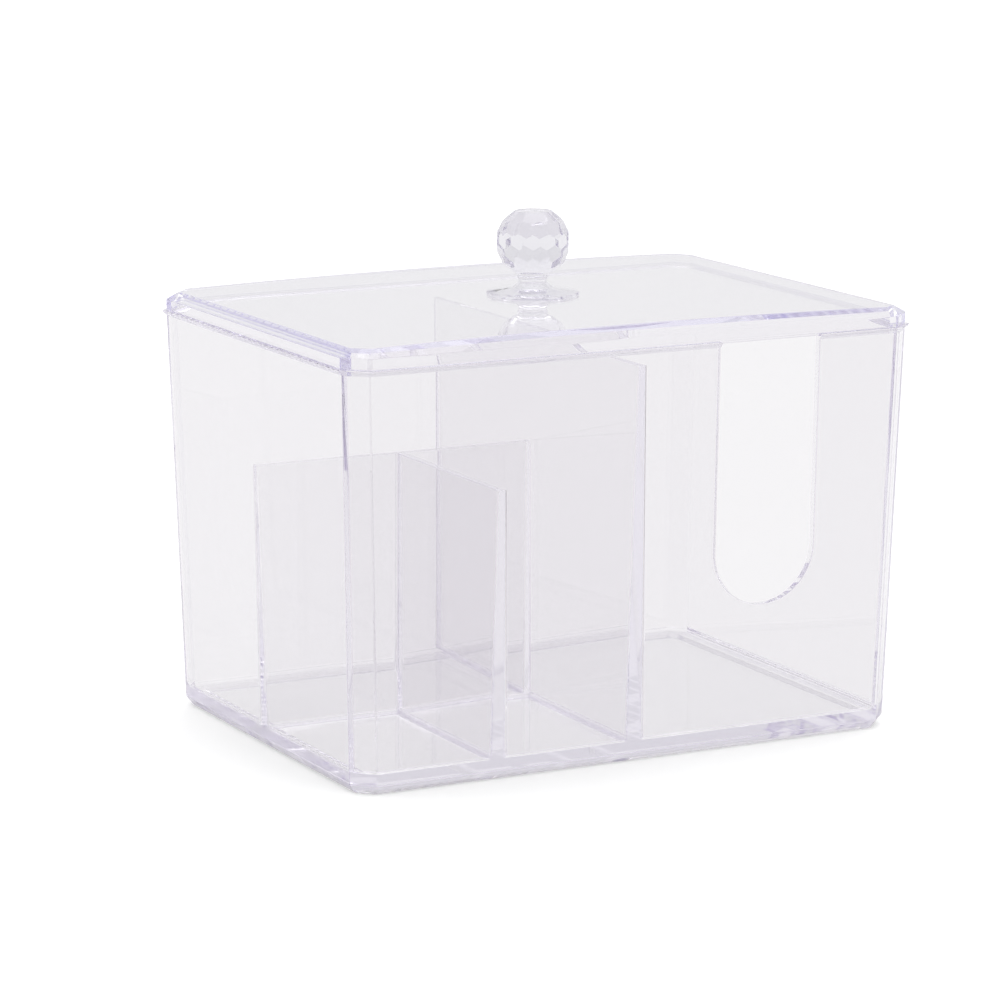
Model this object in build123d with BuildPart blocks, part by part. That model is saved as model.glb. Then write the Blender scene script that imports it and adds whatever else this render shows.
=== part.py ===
"""A clear moulded vanity box: a tub with four bays, a lift-off lid and a faceted knob.

Millimetres. The origin is the middle of the base, on the surface that the box stands on.
+X runs along the front wall, +Y from the front wall to the rear wall, and +Z is up.
"""

import os
from math import radians, sqrt, tan

from build123d import *

os.makedirs("parts", exist_ok=True)

# ---------------------------------------------------------------------------
# Driving dimensions
# ---------------------------------------------------------------------------

# Tub, outside, at the rim
box_width = 156.2
box_depth = 113.6
box_height = 103.4
corner_leg = 5.0  # leg of the 45 degree corner facets
wall = 2.0
wall_draft = 1.6  # degrees; the tub narrows downwards, so that it leaves its mould
base_bevel_width = 1.8
base_bevel_height = 2.4
foot_height = 1.6  # the floor's underside stands this far above the table
foot_width = 3.4  # flat of the rim foot that the box stands on
foot_draft = 12.0  # degrees, on the inner side of the rim foot
floor_thickness = 3.2

# Bead round the rim
bead_reach = 0.9
bead_height = 1.4
bead_lip = 0.5  # upright part of the bead's face; below it the bead slopes back

# Partitions, moulded in one piece with the tub
partition_top = 2.0  # thickness along the top edge
partition_draft = 0.5  # degrees a side; a partition thickens downwards
tall_partition_x = 0.5
tall_partition_drop = 4.4  # its top edge lies this far below the rim
low_partition_x = -37.2
low_partition_height = 66.7  # above the floor
cross_partition_y = 1.5
bay_corner_radius = 1.2
bay_floor_radius = 0.8

# U-shaped finger cut-out in the front wall of the deep bay
slot_width = 28.2
slot_x = 35.8
slot_sill = 31.6  # its lowest point above the floor

# Lid
lid_overhang = 0.2
lid_corner_leg = 5.6
lid_side_height = 2.75
lid_bevel_height = 1.85
lid_bevel_width = 3.0
lid_plate = 2.2
lip_depth = 2.5
lip_thickness = 1.4
lip_clearance = 0.3

# Knob
foot_disc_radius = 11.7
foot_disc_edge = 0.9
foot_sides = 12
neck_radius = 3.4
neck_ring_radius = 3.9
neck_ring_height = 4.9
neck_ring_thickness = 1.1
ball_facet_distance = 8.75  # from the ball's centre to each facet
ball_facets_round = 12
ball_row_step = 25.0  # degrees of latitude from one row of facets to the next
ball_rows_each_side = 2
ball_bottom = 6.3  # above the lid
ball_centre_rise = 8.0  # from the ball's bottom to its centre
table_rise = 7.9  # from the ball's centre to the flat table on top
spigot_radius = 2.5
spigot_clearance = 0.05

# ---------------------------------------------------------------------------
# Heights and shapes worked out from them
# ---------------------------------------------------------------------------

floor_top = foot_height + floor_thickness
low_partition_top = floor_top + low_partition_height
tall_partition_top = box_height - tall_partition_drop
lid_shoulder = box_height + lid_side_height
lid_top = lid_shoulder + lid_bevel_height
ball_centre = lid_top + ball_bottom + ball_centre_rise
facet_leg_change = 2 - sqrt(2)  # a 45 degree corner's leg shrinks by this for each mm of inset


def octagon(height, width, depth, leg):
    """A level rectangle with its four corners cut at 45 degrees."""
    with BuildSketch(Plane.XY.offset(height)) as outline:
        Rectangle(width, depth)
        chamfer(outline.vertices(), leg)
    return outline.sketch


def wall_lean(height):
    """How far the drafted wall stands in from its place at the rim."""
    return (box_height - height) * tan(radians(wall_draft))


def tub_outline(height, inset=0.0, at_height=None):
    """The tub's outside at a height, moved in all round by an inset."""
    moved_in = 2 * (wall_lean(height) + inset)
    level = height if at_height is None else at_height
    leg = corner_leg - facet_leg_change * inset
    return octagon(level, box_width - moved_in, box_depth - moved_in, leg)


def half_partition(height, top):
    """Half the thickness of a drafted partition whose top edge is at a height."""
    return partition_top / 2 + (top - height) * tan(radians(partition_draft))


def bay_outline(height, west=None, east=None, south=None, north=None):
    """A bay's level section: the tub's inside, cut off by the partitions that bound it."""
    moved_in = 2 * (wall_lean(height) + wall)
    low_x = -box_width if west is None else west
    high_x = box_width if east is None else east
    low_y = -box_depth if south is None else south
    high_y = box_depth if north is None else north
    with BuildSketch(Plane.XY.offset(height)) as outline:
        Rectangle(box_width - moved_in, box_depth - moved_in)
        chamfer(outline.vertices(), corner_leg - facet_leg_change * wall)
        with Locations(((low_x + high_x) / 2, (low_y + high_y) / 2)):
            Rectangle(high_x - low_x, high_y - low_y, mode=Mode.INTERSECT)
        fillet(outline.vertices(), bay_corner_radius)
    return outline.sketch


def tall_faces(height):
    """The left and right faces of the tall partition at a height."""
    half = half_partition(height, tall_partition_top)
    return tall_partition_x - half, tall_partition_x + half


def low_faces(height):
    """The left and right faces of the low partition at a height."""
    half = half_partition(height, low_partition_top)
    return low_partition_x - half, low_partition_x + half


def cross_faces(height):
    """The front and rear faces of the cross partition at a height."""
    half = half_partition(height, low_partition_top)
    return cross_partition_y - half, cross_partition_y + half


def deep_bay(height):
    return bay_outline(height, west=tall_faces(height)[1])


def left_half(height):
    return bay_outline(height, east=tall_faces(height)[0])


def rear_bay(height):
    return bay_outline(height, east=tall_faces(height)[0], south=cross_faces(height)[1])


def front_bay(height):
    return bay_outline(height, east=low_faces(height)[0], north=cross_faces(height)[0])


def narrow_bay(height):
    return bay_outline(
        height,
        west=low_faces(height)[1],
        east=tall_faces(height)[0],
        north=cross_faces(height)[0],
    )


def bay_core(section, bottom, top):
    """The mould core of one bay: drafted sides and a rounded edge round the floor."""
    with BuildPart() as core:
        loft([section(bottom), section(top)], ruled=True)
        fillet(core.faces().sort_by(Axis.Z)[0].edges(), bay_floor_radius)
    return core.part


# ---------------------------------------------------------------------------
# Tub: walls, floor, partitions, rim bead and cut-out in one moulding
# ---------------------------------------------------------------------------

bay_cores = [
    bay_core(rear_bay, floor_top, low_partition_top),
    bay_core(front_bay, floor_top, low_partition_top),
    bay_core(narrow_bay, floor_top, low_partition_top),
    bay_core(deep_bay, floor_top, tall_partition_top),
]

with BuildPart() as tub:
    # Drafted block with a bevel round the base
    loft(
        [
            tub_outline(base_bevel_height, base_bevel_width, at_height=0),
            tub_outline(base_bevel_height),
            tub_outline(box_height),
        ],
        ruled=True,
    )
    # Bead round the rim: upright at the top, sloping back to the wall below
    bead_outline_width = box_width + 2 * bead_reach
    bead_outline_depth = box_depth + 2 * bead_reach
    bead_leg = corner_leg + facet_leg_change * bead_reach
    loft(
        [
            tub_outline(box_height - bead_height),
            octagon(box_height - bead_lip, bead_outline_width, bead_outline_depth, bead_leg),
            octagon(box_height, bead_outline_width, bead_outline_depth, bead_leg),
        ],
        ruled=True,
    )
    # Bays: the partitions are what the cores leave standing
    for core in bay_cores:
        add(core, mode=Mode.SUBTRACT)
    loft(
        [left_half(low_partition_top), left_half(tall_partition_top)],
        ruled=True,
        mode=Mode.SUBTRACT,
    )
    loft(
        [bay_outline(tall_partition_top), bay_outline(box_height)],
        ruled=True,
        mode=Mode.SUBTRACT,
    )
    # Underside, raised inside the rim foot
    recess_inset = base_bevel_width + foot_width
    extrude(
        tub_outline(base_bevel_height, recess_inset, at_height=0),
        amount=foot_height,
        taper=foot_draft,
        mode=Mode.SUBTRACT,
    )
    # U-shaped cut-out, from the rim down, through the front wall only
    slot_radius = slot_width / 2
    slot_centre_height = floor_top + slot_sill + slot_radius
    front_of_bead = box_depth / 2 + bead_reach + wall
    slot_depth = front_of_bead - (box_depth / 2 - wall_lean(floor_top) - 2 * wall)
    with BuildSketch(Plane.XZ.offset(front_of_bead)):
        with Locations((slot_x, slot_centre_height)):
            Circle(slot_radius)
            Rectangle(slot_width, box_height, align=(Align.CENTER, Align.MIN))
    extrude(amount=-slot_depth, mode=Mode.SUBTRACT)

tub.part.label = "tub"
export_step(tub.part, "parts/tub.step")

# ---------------------------------------------------------------------------
# Lid: bevelled plate with a locating lip underneath
# ---------------------------------------------------------------------------

lid_width = box_width + 2 * lid_overhang
lid_depth = box_depth + 2 * lid_overhang
lid_underside = lid_top - lid_plate
lip_bottom = box_height - lip_depth


def lip_outline(height, inset=0.0):
    """The lip follows the tub's inner wall, a clearance away from it."""
    return tub_outline(height, wall + lip_clearance + inset)


with BuildPart() as lid:
    # Upright side, then the bevel up to the flat top
    loft(
        [
            octagon(box_height, lid_width, lid_depth, lid_corner_leg),
            octagon(lid_shoulder, lid_width, lid_depth, lid_corner_leg),
            octagon(
                lid_top,
                lid_width - 2 * lid_bevel_width,
                lid_depth - 2 * lid_bevel_width,
                lid_corner_leg - facet_leg_change * lid_bevel_width,
            ),
        ],
        ruled=True,
    )
    # Locating lip
    loft([lip_outline(lip_bottom), lip_outline(box_height)], ruled=True)
    # Hollow underneath, up to the plate
    loft(
        [
            lip_outline(lip_bottom, lip_thickness),
            lip_outline(box_height, lip_thickness),
            tub_outline(box_height, wall + lip_clearance + lip_thickness, lid_underside),
        ],
        ruled=True,
        mode=Mode.SUBTRACT,
    )
    # Hole for the knob's spigot
    with Locations((0, 0, lid_top)):
        Hole(spigot_radius + spigot_clearance, depth=lid_plate)

lid.part.label = "lid"
export_step(lid.part, "parts/lid.step")

# ---------------------------------------------------------------------------
# Knob: faceted ball on a ringed neck and a flared, faceted foot
# ---------------------------------------------------------------------------

# Each facet of the ball is a plane at the same distance from its centre. Every other
# row is turned by half a facet, which leaves lozenges all over the ball.
with BuildPart() as faceted_ball:
    with Locations((0, 0, ball_centre)):
        Sphere(ball_facet_distance * 1.25)
    for row in range(-ball_rows_each_side, ball_rows_each_side + 1):
        half_turn = 0.5 * (row % 2)
        for facet in range(ball_facets_round):
            azimuth = 360 / ball_facets_round * (facet + half_turn)
            outwards = Vector(1, 0, 0).rotate(Axis.Y, -row * ball_row_step).rotate(Axis.Z, azimuth)
            facet_origin = Vector(0, 0, ball_centre) + outwards * ball_facet_distance
            split(bisect_by=Plane(origin=facet_origin, z_dir=outwards), keep=Keep.BOTTOM)
    split(bisect_by=Plane.XY.offset(ball_centre + table_rise), keep=Keep.BOTTOM)
    split(bisect_by=Plane.XY.offset(ball_centre - ball_centre_rise), keep=Keep.TOP)


def foot_section(rise, radius):
    """One level of the flared foot, a regular polygon."""
    with BuildSketch(Plane.XY.offset(lid_top + rise)) as outline:
        RegularPolygon(radius, foot_sides)
    return outline.sketch


foot_rise = neck_ring_height - neck_ring_thickness
flare = foot_disc_radius - neck_radius

with BuildPart() as knob:
    # Foot: an upright edge, then a flare that steepens towards the neck
    loft(
        [
            foot_section(0, foot_disc_radius),
            foot_section(foot_disc_edge, foot_disc_radius),
            foot_section(foot_disc_edge + 0.18 * foot_rise, neck_radius + 0.55 * flare),
            foot_section(foot_disc_edge + 0.42 * foot_rise, neck_radius + 0.2 * flare),
            foot_section(foot_rise, neck_radius),
        ],
        ruled=True,
    )
    # Neck, from the spigot in the lid up into the ball
    with Locations((0, 0, lid_underside)):
        Cylinder(
            spigot_radius,
            lid_plate + foot_rise,
            align=(Align.CENTER, Align.CENTER, Align.MIN),
        )
    with Locations((0, 0, lid_top + foot_rise)):
        Cylinder(
            neck_radius,
            ball_bottom - foot_rise,
            align=(Align.CENTER, Align.CENTER, Align.MIN),
        )
    # Ring round the neck
    with BuildSketch(Plane.XZ):
        with Locations((neck_ring_radius - neck_ring_thickness / 2, lid_top + neck_ring_height)):
            Circle(neck_ring_thickness / 2)
    revolve(axis=Axis.Z)
    add(faceted_ball.part)

knob.part.label = "knob"
export_step(knob.part, "parts/knob.step")
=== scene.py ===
"""Looks of a clear moulded vanity box: a tub with four bays, a lift-off lid and a faceted knob.

Metres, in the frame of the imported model: the box stands on z = 0 with its front wall towards -Y.
"""

from math import cos, pi, radians, sin, sqrt, tan

import bmesh
import bpy
from mathutils import Matrix, Vector


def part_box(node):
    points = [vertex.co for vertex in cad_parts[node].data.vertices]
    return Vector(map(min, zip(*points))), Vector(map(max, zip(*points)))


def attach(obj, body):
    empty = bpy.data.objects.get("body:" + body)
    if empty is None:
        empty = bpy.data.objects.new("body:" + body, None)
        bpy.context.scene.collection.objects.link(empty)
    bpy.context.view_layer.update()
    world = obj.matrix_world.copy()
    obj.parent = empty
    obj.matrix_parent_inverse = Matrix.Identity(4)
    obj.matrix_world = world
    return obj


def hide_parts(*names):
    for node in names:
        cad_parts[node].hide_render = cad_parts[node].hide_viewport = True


MM = 0.001

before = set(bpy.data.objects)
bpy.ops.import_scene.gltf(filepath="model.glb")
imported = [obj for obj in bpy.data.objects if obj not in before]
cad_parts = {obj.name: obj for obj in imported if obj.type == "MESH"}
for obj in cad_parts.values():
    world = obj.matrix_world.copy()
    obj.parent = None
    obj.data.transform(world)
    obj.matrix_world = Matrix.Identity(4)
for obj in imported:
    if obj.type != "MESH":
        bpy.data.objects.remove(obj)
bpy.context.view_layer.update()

# ---------------------------------------------------------------------------
# Sizes of the mouldings
# ---------------------------------------------------------------------------

SEAM = 0.04 * MM  # air left between faces that rest on each other
EDGE_RADIUS = 0.25 * MM  # how far a polished mould rounds an outer edge
EDGE_STEPS = 2
SHORTEST_ROUNDED = 1 * MM  # outer edges shorter than this stay sharp

tub_low, tub_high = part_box("tub")
lid_low, lid_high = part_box("lid")
_, knob_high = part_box("knob")

BEAD_REACH = 0.9 * MM
BEAD_HEIGHT = 1.4 * MM
BEAD_LIP = 0.5 * MM
RIM = tub_high.z
TUB_WIDTH = tub_high.x - tub_low.x - 2 * BEAD_REACH
TUB_DEPTH = tub_high.y - tub_low.y - 2 * BEAD_REACH
CORNER_LEG = 5.0 * MM
WALL = 2.0 * MM
WALL_DRAFT = radians(1.6)
BASE_BEVEL_WIDTH = 1.8 * MM
BASE_BEVEL_HEIGHT = 2.4 * MM
FOOT_HEIGHT = 1.6 * MM
FOOT_WIDTH = 3.4 * MM
UNDERSIDE_DRAFT = radians(12)  # of the sides of the raised underside
FLOOR_TOP = FOOT_HEIGHT + 3.2 * MM

PARTITION_TOP = 2.0 * MM  # thickness at a partition's top
PARTITION_DRAFT = radians(0.5)
TALL_PARTITION_X = 0.5 * MM
TALL_PARTITION_TOP = RIM - 4.4 * MM
LOW_PARTITION_X = -37.2 * MM
LOW_PARTITION_TOP = FLOOR_TOP + 66.7 * MM
CROSS_PARTITION_Y = 1.5 * MM
FILLET_RADIUS = 1.0 * MM  # in the bays, where walls, floor and partitions grow from each other
FILLET_STEPS = 3

SLOT_WIDTH = 28.2 * MM
SLOT_X = 35.8 * MM
SLOT_BOTTOM = FLOOR_TOP + 31.6 * MM
SLOT_SIDES = 64  # of the circle that its round end is half of

LID_TOP = lid_high.z
LID_CORNER_LEG = 5.6 * MM
LID_BEVEL_HEIGHT = 1.85 * MM
LID_BEVEL_WIDTH = 3.0 * MM
LID_SHOULDER = LID_TOP - LID_BEVEL_HEIGHT
LID_PLATE = 2.2 * MM
LID_CROWN = 1.0 * MM  # how far the plate bows up in the middle of its length
CROWN_STEPS = 16
LIP_HEIGHT = 1.0 * MM
LIP_THICKNESS = 1.4 * MM
LIP_CLEARANCE = 0.3 * MM

FACET_LEG_CHANGE = 2 - sqrt(2)  # a 45 degree corner's leg shrinks by this for each unit of inset
INNER_CORNER_LEG = CORNER_LEG - FACET_LEG_CHANGE * WALL

# Tolerances of the modelling
NEAR = 0.04 * MM  # heights closer than this are taken as the same
WELD = 0.002 * MM  # vertices closer than this are merged
BISECT_TOLERANCE = 0.001 * MM
FLAT_TURN = radians(0.2)  # faces that turn less than this are joined into one
OUTER_TURN = radians(30)  # outer edges that turn more than this are rounded
INNER_TURN = radians(60)  # inner edges that turn more than this are filleted
LEVEL_NORMAL = 0.9  # the least upward or downward part of a level face's normal
CAVITY_OVERRUN = 3 * MM  # how far the cutter of the tub's inside stands past the rim
SLOT_OVERRUN = 5 * MM  # how far the cutter of the finger cut-out stands past the rim

# ---------------------------------------------------------------------------
# Modelling helpers
# ---------------------------------------------------------------------------


def only(piece):
    """Makes piece the one selected and active object."""
    bpy.ops.object.select_all(action="DESELECT")
    bpy.context.view_layer.objects.active = piece
    piece.select_set(True)


def pick(piece, kind, test):
    """Opens piece in edit mode with just the faces or edges selected that pass a test."""
    only(piece)
    mesh = piece.data
    for part in (mesh.vertices, mesh.edges, mesh.polygons):
        part.foreach_set("select", [False] * len(part))
    if kind == "FACE":
        for face in mesh.polygons:
            face.select = test(face.center, face.normal)
    else:
        for edge in mesh.edges:
            edge.select = test(*(mesh.vertices[v].co for v in edge.vertices))
    bpy.ops.object.mode_set(mode="EDIT")
    bpy.ops.mesh.select_mode(type=kind)


def done():
    bpy.ops.object.mode_set(mode="OBJECT")


def everything(centre, normal):
    return True


def upright(a, b):
    """True for an edge that climbs more than it runs."""
    return abs(a.z - b.z) > Vector((a.x - b.x, a.y - b.y)).length


def facing_up(centre, normal):
    return normal.z > LEVEL_NORMAL


def facing_down(centre, normal):
    return normal.z < -LEVEL_NORMAL


def block(name, top, bottom):
    """A block between two level rectangles, each given as (left, right, front, rear, height)."""
    left, right, front, rear, high = top
    low_left, low_right, low_front, low_rear, low = bottom
    bpy.ops.object.select_all(action="DESELECT")
    bpy.ops.mesh.primitive_cube_add(
        size=1,
        location=((left + right) / 2, (front + rear) / 2, (low + high) / 2),
        scale=(right - left, rear - front, high - low),
    )
    piece = bpy.context.object
    piece.name = name
    bpy.ops.object.transform_apply(location=True, rotation=True, scale=True)
    pick(piece, "FACE", facing_down)
    narrower = ((low_right - low_left) / (right - left), (low_rear - low_front) / (rear - front), 1)
    centre = ((left + right) / 2, (front + rear) / 2, low)
    bpy.ops.transform.resize(value=narrower, center_override=centre)
    shift = (low_left + low_right - left - right, low_front + low_rear - front - rear)
    bpy.ops.transform.translate(value=(shift[0] / 2, shift[1] / 2, 0))
    done()
    return piece


def centred(name, width, depth, high, low, narrowing=0.0):
    """A block about the middle of the box, narrower all round at its bottom by narrowing."""
    half_width = width / 2
    half_depth = depth / 2
    top = (-half_width, half_width, -half_depth, half_depth, high)
    x, y = half_width - narrowing, half_depth - narrowing
    return block(name, top, (-x, x, -y, y, low))


def bevel(offset, segments=1):
    bpy.ops.mesh.bevel(
        offset_type="OFFSET",
        offset=offset,
        segments=segments,
        profile=0.5,
        affect="EDGES",
        clamp_overlap=False,
    )


def cut_corners(piece, leg):
    """Cuts the four upright edges of a block at 45 degrees."""
    pick(piece, "EDGE", upright)
    bevel(leg)
    done()


def boolean(piece, other, operation):
    """Joins another piece to this one, or cuts it away, and deletes the other."""
    only(piece)
    modifier = piece.modifiers.new(operation, "BOOLEAN")
    modifier.operation = operation
    modifier.object = other
    modifier.solver = "EXACT"
    bpy.ops.object.modifier_apply(modifier=modifier.name)
    bpy.data.objects.remove(other)
    pick(piece, "FACE", everything)
    bpy.ops.mesh.remove_doubles(threshold=WELD)
    bpy.ops.mesh.dissolve_limited(angle_limit=FLAT_TURN)
    done()


def round_edges(piece):
    """Rounds the sharp outer edges, apart from short ones."""
    only(piece)
    bpy.ops.object.mode_set(mode="EDIT")
    bpy.ops.mesh.select_mode(type="EDGE")
    bpy.ops.mesh.select_all(action="DESELECT")
    edges = bmesh.from_edit_mesh(piece.data).edges
    for edge in edges:
        sharp = edge.is_convex and edge.calc_face_angle(0) > OUTER_TURN
        edge.select_set(sharp and edge.calc_length() > SHORTEST_ROUNDED)
    bevel(EDGE_RADIUS, EDGE_STEPS)
    done()


def finish_surface(piece, smooth_turn):
    """Smooths the edges that turn less than smooth_turn and keeps the large faces flat."""
    only(piece)
    bpy.ops.object.shade_smooth_by_angle(angle=smooth_turn)
    normals = piece.modifiers.new("flat faces stay flat", "WEIGHTED_NORMAL")
    normals.weight = 100  # the larger face decides
    normals.keep_sharp = True
    bpy.ops.object.modifier_apply(modifier=normals.name)


# ---------------------------------------------------------------------------
# Tub
# ---------------------------------------------------------------------------


def wall_lean(height):
    """How far the drafted wall stands in from its place at the rim."""
    return (RIM - height) * tan(WALL_DRAFT)


def inner_wall(height):
    """The tub's inside at a height, as (left, right, front, rear)."""
    x = TUB_WIDTH / 2 - wall_lean(height) - WALL
    y = TUB_DEPTH / 2 - wall_lean(height) - WALL
    return -x, x, -y, y


def partition_faces(middle, top, height):
    """Both faces of a drafted partition at a height."""
    half = PARTITION_TOP / 2 + (top - height) * tan(PARTITION_DRAFT)
    return middle - half, middle + half


def partition(name, runs, middle, top, start, stop):
    """A drafted partition; its ends and its foot run on into what they grow from."""
    sections = []
    for height in (top, FLOOR_TOP - WALL / 2):
        left, right, front, rear = inner_wall(height)
        places = {
            "left wall": left - WALL / 2,
            "front wall": front - WALL / 2,
            "rear wall": rear + WALL / 2,
            "tall partition": TALL_PARTITION_X,
            "cross partition": CROSS_PARTITION_Y,
        }
        faces = partition_faces(middle, top, height)
        ends = (places[start], places[stop])
        if runs == "front to rear":
            sections.append((*faces, *ends, height))
        else:
            sections.append((*ends, *faces, height))
    return block(name, *sections)


def fillet_bays(tub):
    """Rounds the inside edges of the bays, upright and round their floors."""
    only(tub)
    bpy.ops.object.mode_set(mode="EDIT")
    bpy.ops.mesh.select_mode(type="EDGE")
    bpy.ops.mesh.select_all(action="DESELECT")
    for edge in bmesh.from_edit_mesh(tub.data).edges:
        a, b = (vertex.co for vertex in edge.verts)
        hollow = not edge.is_convex and edge.calc_face_angle(0) > INNER_TURN
        on_floor = abs(a.z - FLOOR_TOP) < NEAR and abs(b.z - FLOOR_TOP) < NEAR
        edge.select_set(hollow and (on_floor or upright(a, b)))
    bevel(FILLET_RADIUS, FILLET_STEPS)
    done()


def finger_cut_out():
    """A U-shaped cutter: a round end with straight sides that run out past the rim."""
    half_width = SLOT_WIDTH / 2
    middle = SLOT_BOTTOM + half_width
    # It stands out on both sides of the drafted front wall
    bpy.ops.object.select_all(action="DESELECT")
    bpy.ops.mesh.primitive_cylinder_add(
        vertices=SLOT_SIDES,
        radius=half_width,
        depth=4 * WALL,
        location=(SLOT_X, -TUB_DEPTH / 2 + 0.7 * WALL, middle),
        rotation=(pi / 2, 0, 0),
    )
    cutter = bpy.context.object
    bpy.ops.object.transform_apply(location=True, rotation=True, scale=True)
    for vertex in cutter.data.vertices:
        if vertex.co.z > middle + WELD:
            vertex.co.x = SLOT_X + (half_width if vertex.co.x > SLOT_X else -half_width)
            vertex.co.z = RIM + SLOT_OVERRUN
    pick(cutter, "FACE", everything)
    bpy.ops.mesh.remove_doubles(threshold=WELD)
    done()
    return cutter


def rim_bead():
    """The bead round the rim: a slab whose underside slopes in to the wall."""
    reach = 2 * BEAD_REACH
    bead = centred("bead", TUB_WIDTH + reach, TUB_DEPTH + reach, RIM, RIM - BEAD_LIP)
    cut_corners(bead, CORNER_LEG + FACET_LEG_CHANGE * BEAD_REACH)
    pick(bead, "FACE", facing_down)
    slope = BEAD_HEIGHT - BEAD_LIP
    bpy.ops.mesh.inset(thickness=2 * BEAD_REACH, depth=2 * slope, use_even_offset=True)
    done()
    return bead


def underside_recess():
    """The cutter that leaves the underside raised inside the rim foot."""
    inset = 2 * (wall_lean(BASE_BEVEL_HEIGHT) + BASE_BEVEL_WIDTH + FOOT_WIDTH)
    recess = centred("recess", TUB_WIDTH - inset, TUB_DEPTH - inset, -FOOT_HEIGHT, -2 * FOOT_HEIGHT)
    cut_corners(recess, CORNER_LEG - FACET_LEG_CHANGE * (BASE_BEVEL_WIDTH + FOOT_WIDTH))
    pick(recess, "FACE", facing_up)
    bpy.ops.mesh.inset(thickness=2 * FOOT_HEIGHT * tan(UNDERSIDE_DRAFT), depth=2 * FOOT_HEIGHT)
    done()
    return recess


def make_tub():
    drop = RIM - BASE_BEVEL_HEIGHT
    tub = centred("tub_moulding", TUB_WIDTH, TUB_DEPTH, RIM, BASE_BEVEL_HEIGHT, drop * tan(WALL_DRAFT))
    cut_corners(tub, CORNER_LEG)
    pick(tub, "FACE", facing_down)
    bpy.ops.mesh.inset(thickness=BASE_BEVEL_WIDTH, depth=BASE_BEVEL_HEIGHT, use_even_offset=True)
    done()
    boolean(tub, rim_bead(), "UNION")
    boolean(tub, underside_recess(), "DIFFERENCE")

    high = RIM + CAVITY_OVERRUN
    inside = block("inside", (*inner_wall(high), high), (*inner_wall(FLOOR_TOP), FLOOR_TOP))
    cut_corners(inside, INNER_CORNER_LEG)
    boolean(tub, inside, "DIFFERENCE")
    for partition_form in (
        ("front to rear", TALL_PARTITION_X, TALL_PARTITION_TOP, "front wall", "rear wall"),
        ("left to right", CROSS_PARTITION_Y, LOW_PARTITION_TOP, "left wall", "tall partition"),
        ("front to rear", LOW_PARTITION_X, LOW_PARTITION_TOP, "front wall", "cross partition"),
    ):
        boolean(tub, partition("partition", *partition_form), "UNION")
    fillet_bays(tub)
    boolean(tub, finger_cut_out(), "DIFFERENCE")
    return tub


# ---------------------------------------------------------------------------
# Lid
# ---------------------------------------------------------------------------


def crown(lid):
    """Bows the lid's plate up along its length, most in the middle, and leaves its edge straight."""
    half_length = (lid_high.x - lid_low.x) / 2 - LID_BEVEL_WIDTH
    pick(lid, "FACE", everything)
    for step in range(1, CROWN_STEPS):
        bpy.ops.mesh.select_all(action="SELECT")
        place = half_length * (2 * step / CROWN_STEPS - 1)
        bpy.ops.mesh.bisect(plane_co=(place, 0, 0), plane_no=(1, 0, 0))
    done()
    for vertex in lid.data.vertices:
        for level in (LID_TOP, LID_TOP - LID_PLATE):
            if abs(vertex.co.z - level) < NEAR:
                vertex.co.z += LID_CROWN * (1 - (vertex.co.x / half_length) ** 2)
                break


def make_lid():
    width = lid_high.x - lid_low.x
    depth = lid_high.y - lid_low.y
    lid = centred("lid_moulding", width, depth, LID_SHOULDER, RIM + SEAM)
    cut_corners(lid, LID_CORNER_LEG)
    pick(lid, "FACE", facing_up)
    bpy.ops.mesh.inset(thickness=LID_BEVEL_WIDTH, depth=LID_BEVEL_HEIGHT, use_even_offset=True)
    done()

    # Locating lip, then the hollow that leaves the plate and the lip's thickness
    lip_bottom = RIM - LIP_HEIGHT
    inset = 2 * (wall_lean(lip_bottom) + WALL + LIP_CLEARANCE)
    lip_leg = INNER_CORNER_LEG - FACET_LEG_CHANGE * LIP_CLEARANCE
    lip = centred("lip", TUB_WIDTH - inset, TUB_DEPTH - inset, RIM + LID_PLATE / 2, lip_bottom)
    cut_corners(lip, lip_leg)
    boolean(lid, lip, "UNION")
    inset += 2 * LIP_THICKNESS
    underside = LID_TOP - LID_PLATE
    hollow = centred("hollow", TUB_WIDTH - inset, TUB_DEPTH - inset, underside, lip_bottom - LIP_HEIGHT)
    cut_corners(hollow, lip_leg - FACET_LEG_CHANGE * LIP_THICKNESS)
    boolean(lid, hollow, "DIFFERENCE")
    crown(lid)
    return lid


# ---------------------------------------------------------------------------
# Knob
# ---------------------------------------------------------------------------

BALL_FACET_DISTANCE = 9.0 * MM
BALL_FACETS_ROUND = 12
BALL_ROWS = (-2, -1, 0, 1, 2)  # counted from the row at the ball's widest place
BALL_ROW_STEP = radians(25)
BALL_BOTTOM = 6.8 * MM
BALL_CENTRE_RISE = 7.5 * MM
BALL_BLANK = 3 * BALL_FACET_DISTANCE  # side of the block that the ball is cut from
FOOT_DISC_RADIUS = 11.7 * MM
FOOT_DISC_EDGE = 0.7 * MM
FOOT_SIDES = 12
FOOT_FLARE = ((0.18, 0.55), (0.42, 0.2), (1, 0))  # shares of its rise, and of its reach past the neck
NECK_SIDES = 48
NECK_RADIUS = 3.4 * MM
NECK_RING_RADIUS = 3.9 * MM
NECK_RING_HEIGHT = 5.5 * MM
NECK_RING_THICKNESS = 1.1 * MM
NECK_START = 0.5  # share of the foot's rise at which the neck starts, inside the foot
NECK_OVERLAP = 1 * MM  # how far the neck runs on into the ball


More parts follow.
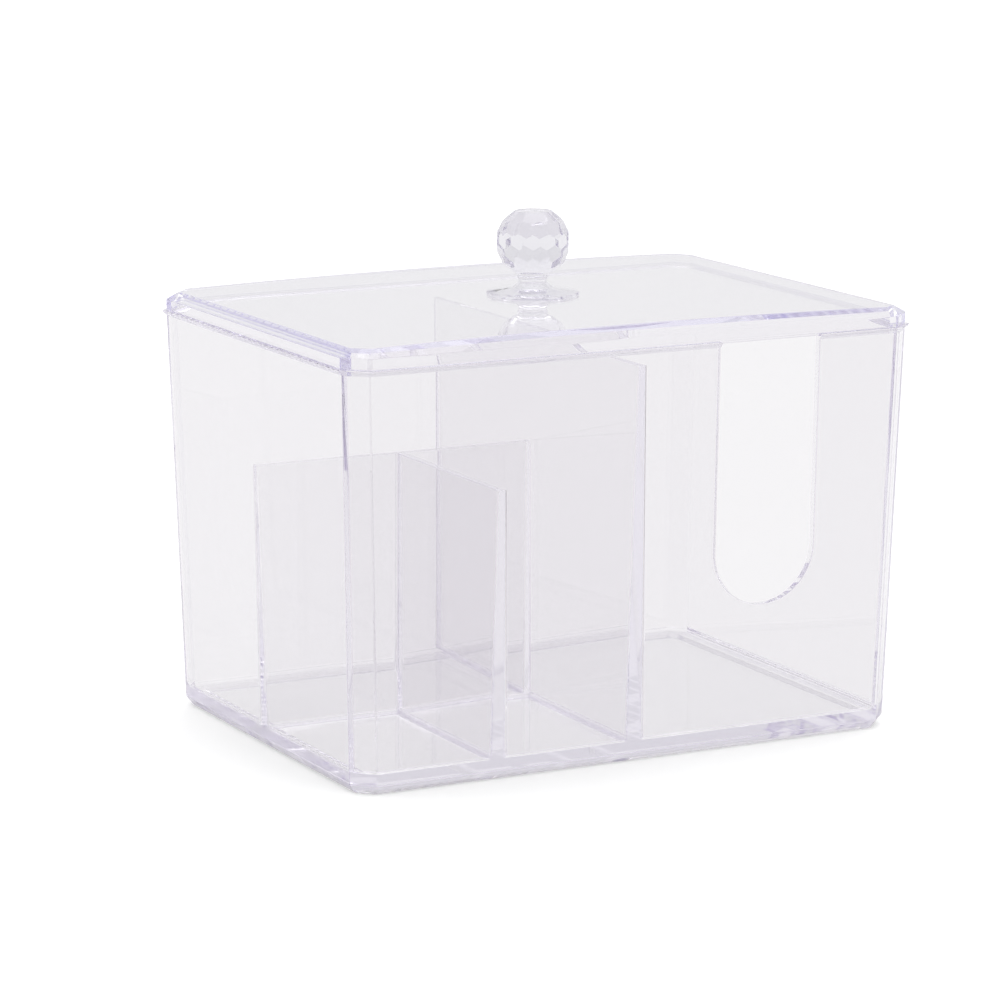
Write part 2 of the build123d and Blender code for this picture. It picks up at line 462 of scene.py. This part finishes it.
def faceted_ball():
    """A ball cut from a block by planes; every other row of facets is turned by half a facet."""
    centre = Vector((0, 0, LID_TOP + BALL_BOTTOM + BALL_CENTRE_RISE))
    bpy.ops.object.select_all(action="DESELECT")
    bpy.ops.mesh.primitive_cube_add(size=BALL_BLANK, location=centre)
    ball = bpy.context.object
    bpy.ops.object.transform_apply(location=True, rotation=True, scale=True)
    pick(ball, "FACE", everything)
    up = Vector((0, 0, 1))
    cuts = [(knob_high, up), ((LID_TOP + BALL_BOTTOM) * up, -up)]
    for row in BALL_ROWS:
        latitude = row * BALL_ROW_STEP
        for facet in range(BALL_FACETS_ROUND):
            turn = 2 * pi / BALL_FACETS_ROUND * (facet + 0.5 * (row % 2))
            outwards = Vector(
                (cos(latitude) * cos(turn), cos(latitude) * sin(turn), sin(latitude))
            )
            cuts.append((centre + outwards * BALL_FACET_DISTANCE, outwards))
    for place, outwards in cuts:
        bpy.ops.mesh.select_all(action="SELECT")
        bpy.ops.mesh.bisect(
            plane_co=place,
            plane_no=outwards,
            use_fill=True,
            clear_outer=True,
            threshold=BISECT_TOLERANCE,
        )
    done()
    return ball


def ring_stack(name, sides, levels):
    """A turned or many-sided body grown ring by ring from a circle; levels are (height, radius)."""
    height, radius = levels[0]
    bpy.ops.object.select_all(action="DESELECT")
    bpy.ops.mesh.primitive_circle_add(
        vertices=sides, radius=radius, fill_type="NGON", location=(0, 0, height)
    )
    piece = bpy.context.object
    piece.name = name
    bpy.ops.object.transform_apply(location=True, rotation=True, scale=True)
    bpy.ops.object.mode_set(mode="EDIT")
    bpy.ops.mesh.select_all(action="SELECT")
    for next_height, next_radius in levels[1:]:
        bpy.ops.mesh.extrude_region_move(
            TRANSFORM_OT_translate={"value": (0, 0, next_height - height)}
        )
        bpy.ops.transform.resize(
            value=(next_radius / radius, next_radius / radius, 1),
            center_override=(0, 0, next_height),
        )
        height, radius = next_height, next_radius
    bpy.ops.mesh.select_all(action="SELECT")
    bpy.ops.mesh.normals_make_consistent(inside=False)
    done()
    return piece


def make_knob():
    plate = LID_TOP + LID_CROWN
    foot_top = LID_TOP + NECK_RING_HEIGHT - NECK_RING_THICKNESS
    foot_rise = foot_top - plate - FOOT_DISC_EDGE
    flare = FOOT_DISC_RADIUS - NECK_RADIUS
    knob = ring_stack(
        "knob_moulding",
        FOOT_SIDES,
        (
            (plate + SEAM, FOOT_DISC_RADIUS),
            (plate + FOOT_DISC_EDGE, FOOT_DISC_RADIUS),
            *(
                (plate + FOOT_DISC_EDGE + rise * foot_rise, NECK_RADIUS + reach * flare)
                for rise, reach in FOOT_FLARE
            ),
        ),
    )
    # The ring bulges as an arc of 120 degrees
    ring = [
        (
            LID_TOP + NECK_RING_HEIGHT + NECK_RING_THICKNESS / 2 * sin(angle),
            NECK_RING_RADIUS - NECK_RING_THICKNESS / 2 * (1 - cos(angle)),
        )
        for angle in (radians(a) for a in range(-60, 61, 15))
    ]
    neck_start = plate + NECK_START * foot_rise
    neck_end = LID_TOP + BALL_BOTTOM + NECK_OVERLAP
    neck_levels = [(neck_start, NECK_RADIUS), *ring, (neck_end, NECK_RADIUS)]
    boolean(knob, ring_stack("neck", NECK_SIDES, neck_levels), "UNION")
    boolean(knob, faceted_ball(), "UNION")
    return knob


# ---------------------------------------------------------------------------
# Materials
# ---------------------------------------------------------------------------

REFRACTION = 1.55
RIPPLE_SCALE = 18
RIPPLE_DEPTH = 0.4 * MM
DENSITY_HEADROOM = 1.5  # keeps each part of the absorbing volume's colour at a third or more


def node_material(name):
    """A new material with a Principled shader; returns the material, its nodes, links and shader."""
    material = bpy.data.materials.new(name)
    material.use_nodes = True
    nodes = material.node_tree.nodes
    return material, nodes, material.node_tree.links, nodes["Principled BSDF"]


def clear_plastic(name, tint, absorbed, ripple):
    """Clear plastic: polished, faintly rippled by the mould, violet where light runs far through it.

    absorbed says how strongly red, green and blue fade, for each metre of plastic.
    """
    material, nodes, links, shader = node_material(name)
    shader.inputs["Base Color"].default_value = (*tint, 1)
    shader.inputs["Transmission Weight"].default_value = 1
    shader.inputs["IOR"].default_value = REFRACTION
    shader.inputs["Roughness"].default_value = 0
    absorption = nodes.new("ShaderNodeVolumeAbsorption")
    strongest = DENSITY_HEADROOM * max(absorbed)
    absorption.inputs["Color"].default_value = (*(1 - a / strongest for a in absorbed), 1)
    absorption.inputs["Density"].default_value = strongest
    links.new(absorption.outputs["Volume"], nodes["Material Output"].inputs["Volume"])
    place = nodes.new("ShaderNodeTexCoord")
    waves = nodes.new("ShaderNodeTexNoise")
    waves.inputs["Scale"].default_value = RIPPLE_SCALE
    waves.inputs["Detail"].default_value = 1
    bump = nodes.new("ShaderNodeBump")
    bump.inputs["Strength"].default_value = ripple
    bump.inputs["Distance"].default_value = RIPPLE_DEPTH
    links.new(place.outputs["Object"], waves.inputs["Vector"])
    links.new(waves.outputs["Fac"], bump.inputs["Height"])
    links.new(bump.outputs["Normal"], shader.inputs["Normal"])
    return material


# ---------------------------------------------------------------------------
# Stage: floor, lamps, surroundings and camera
# ---------------------------------------------------------------------------

CAMERA_PLACE = Vector((-0.490729, -0.918797, 0.265220))
CAMERA_YAW = 27.659  # degrees from +Y towards +X
CAMERA_PITCH = 11.357  # degrees downwards
CAMERA_ROLL = 0.119
SENSOR = 36  # mm
LENS = 150.2  # mm

FLOOR_SIZE = 12
FLOOR_GLOW = 0.3  # brings the lit floor up to white for the camera alone
WORLD_LIGHT = (  # upward part of a direction, 0 level and 1 straight up, and the light from there
    (0.3, (0.87, 0.87, 0.88)),
    (0.45, (1, 1, 1.01)),
    (0.75, (1, 1, 1.01)),
    (0.95, (1.2, 1.2, 1.2)),
)
BOX_MIDDLE = Vector((0, 0, 0.06))
LIGHT_BOUNCES = 160  # enough for the light that runs along inside the walls


def add_camera():
    camera = bpy.data.objects.new("camera", bpy.data.cameras.new("camera"))
    bpy.context.scene.collection.objects.link(camera)
    camera.data.sensor_width = SENSOR
    camera.data.lens = LENS
    camera.data.clip_start = 0.05
    camera.data.clip_end = 50
    turn = (
        Matrix.Rotation(radians(-CAMERA_YAW), 4, "Z")
        @ Matrix.Rotation(radians(90 - CAMERA_PITCH), 4, "X")
        @ Matrix.Rotation(radians(CAMERA_ROLL), 4, "Z")
    )
    camera.matrix_world = Matrix.Translation(CAMERA_PLACE) @ turn
    bpy.context.scene.camera = camera


def add_floor():
    """A pale floor that takes the shadow and looks white through the clear plastic."""
    bpy.ops.object.select_all(action="DESELECT")
    bpy.ops.mesh.primitive_plane_add(size=FLOOR_SIZE, location=(0, 0, -SEAM))
    floor = bpy.context.object
    floor.name = "floor"
    material, nodes, links, shader = node_material("pale floor")
    shader.inputs["Base Color"].default_value = (0.9, 0.9, 0.9, 1)
    shader.inputs["Roughness"].default_value = 0.9
    shader.inputs["Specular IOR Level"].default_value = 0
    shader.inputs["Emission Color"].default_value = (1, 1, 1, 1)
    seen = nodes.new("ShaderNodeLightPath")
    glow = nodes.new("ShaderNodeMath")
    glow.operation = "MULTIPLY"
    glow.inputs[1].default_value = FLOOR_GLOW
    links.new(seen.outputs["Is Camera Ray"], glow.inputs[0])
    links.new(glow.outputs[0], shader.inputs["Emission Strength"])
    white = nodes.new("ShaderNodeEmission")
    mix = nodes.new("ShaderNodeMixShader")
    links.new(seen.outputs["Is Transmission Ray"], mix.inputs[0])
    links.new(shader.outputs["BSDF"], mix.inputs[1])
    links.new(white.outputs["Emission"], mix.inputs[2])
    links.new(mix.outputs["Shader"], nodes["Material Output"].inputs["Surface"])
    floor.data.materials.append(material)


def add_softbox(name, place, size, power):
    """A square lamp that faces the box; size in metres, power in watts."""
    lamp = bpy.data.objects.new(name, bpy.data.lights.new(name, "AREA"))
    bpy.context.scene.collection.objects.link(lamp)
    lamp.data.shape = "SQUARE"
    lamp.data.size = size
    lamp.data.energy = power
    aim = BOX_MIDDLE - Vector(place)
    lamp.matrix_world = Matrix.Translation(place) @ aim.to_track_quat("-Z", "Y").to_matrix().to_4x4()


def set_world():
    """Even light all round, brighter from above; the camera sees it as white."""
    world = bpy.data.worlds.new("studio")
    bpy.context.scene.world = world
    world.use_nodes = True
    nodes = world.node_tree.nodes
    links = world.node_tree.links
    background = nodes["Background"]
    place = nodes.new("ShaderNodeTexCoord")
    split = nodes.new("ShaderNodeSeparateXYZ")
    ramp = nodes.new("ShaderNodeValToRGB")
    stops = ramp.color_ramp.elements
    lowest, *between, highest = WORLD_LIGHT
    for stop, (height, light) in zip(stops, (lowest, highest)):
        stop.position = height
        stop.color = (*light, 1)
    for height, light in between:
        stops.new(height).color = (*light, 1)
    seen = nodes.new("ShaderNodeLightPath")
    mix = nodes.new("ShaderNodeMix")
    mix.data_type = "RGBA"
    links.new(place.outputs["Generated"], split.inputs[0])
    links.new(split.outputs["Z"], ramp.inputs[0])
    links.new(seen.outputs["Is Camera Ray"], mix.inputs["Factor"])
    links.new(ramp.outputs["Color"], mix.inputs["A"])
    mix.inputs["B"].default_value = (1, 1, 1, 1)
    links.new(mix.outputs["Result"], background.inputs["Color"])


# ---------------------------------------------------------------------------
# The box
# ---------------------------------------------------------------------------

scene = bpy.context.scene
scene.view_settings.view_transform = "Standard"
scene.cycles.max_bounces = LIGHT_BOUNCES
scene.cycles.transmission_bounces = LIGHT_BOUNCES
scene.cycles.glossy_bounces = LIGHT_BOUNCES
add_camera()
set_world()
add_floor()
add_softbox("front softbox", (0.25, -1.2, 1.1), 0.16, 0.6)
add_softbox("overhead softbox", (0.3, 0.4, 1.6), 1.2, 5)

MOULDING_SMOOTH_TURN = radians(40)
KNOB_SMOOTH_TURN = radians(20)  # less than between two facets, which stay flat

tub_plastic = clear_plastic("clear tub", (0.93, 0.922, 0.935), (1.3, 1.5, 0.9), 0.01)
lid_plastic = clear_plastic("clear lid", (0.93, 0.922, 0.94), (1.2, 1.35, 0.35), 0.01)
knob_plastic = clear_plastic("clear knob", (0.88, 0.875, 0.9), (3.2, 3.5, 2.4), 0.02)

for piece, node, body, slot, finish in (
    (make_tub(), "tub", "box", "clear_moulding", tub_plastic),
    (make_lid(), "lid", "cover", "clear_moulding", lid_plastic),
    (make_knob(), "knob", "cover", "clear_knob", knob_plastic),
):
    if node == "knob":
        finish_surface(piece, KNOB_SMOOTH_TURN)
    else:
        round_edges(piece)
        finish_surface(piece, MOULDING_SMOOTH_TURN)
    piece.data.materials.append(finish)
    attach(piece, body)
    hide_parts(node)
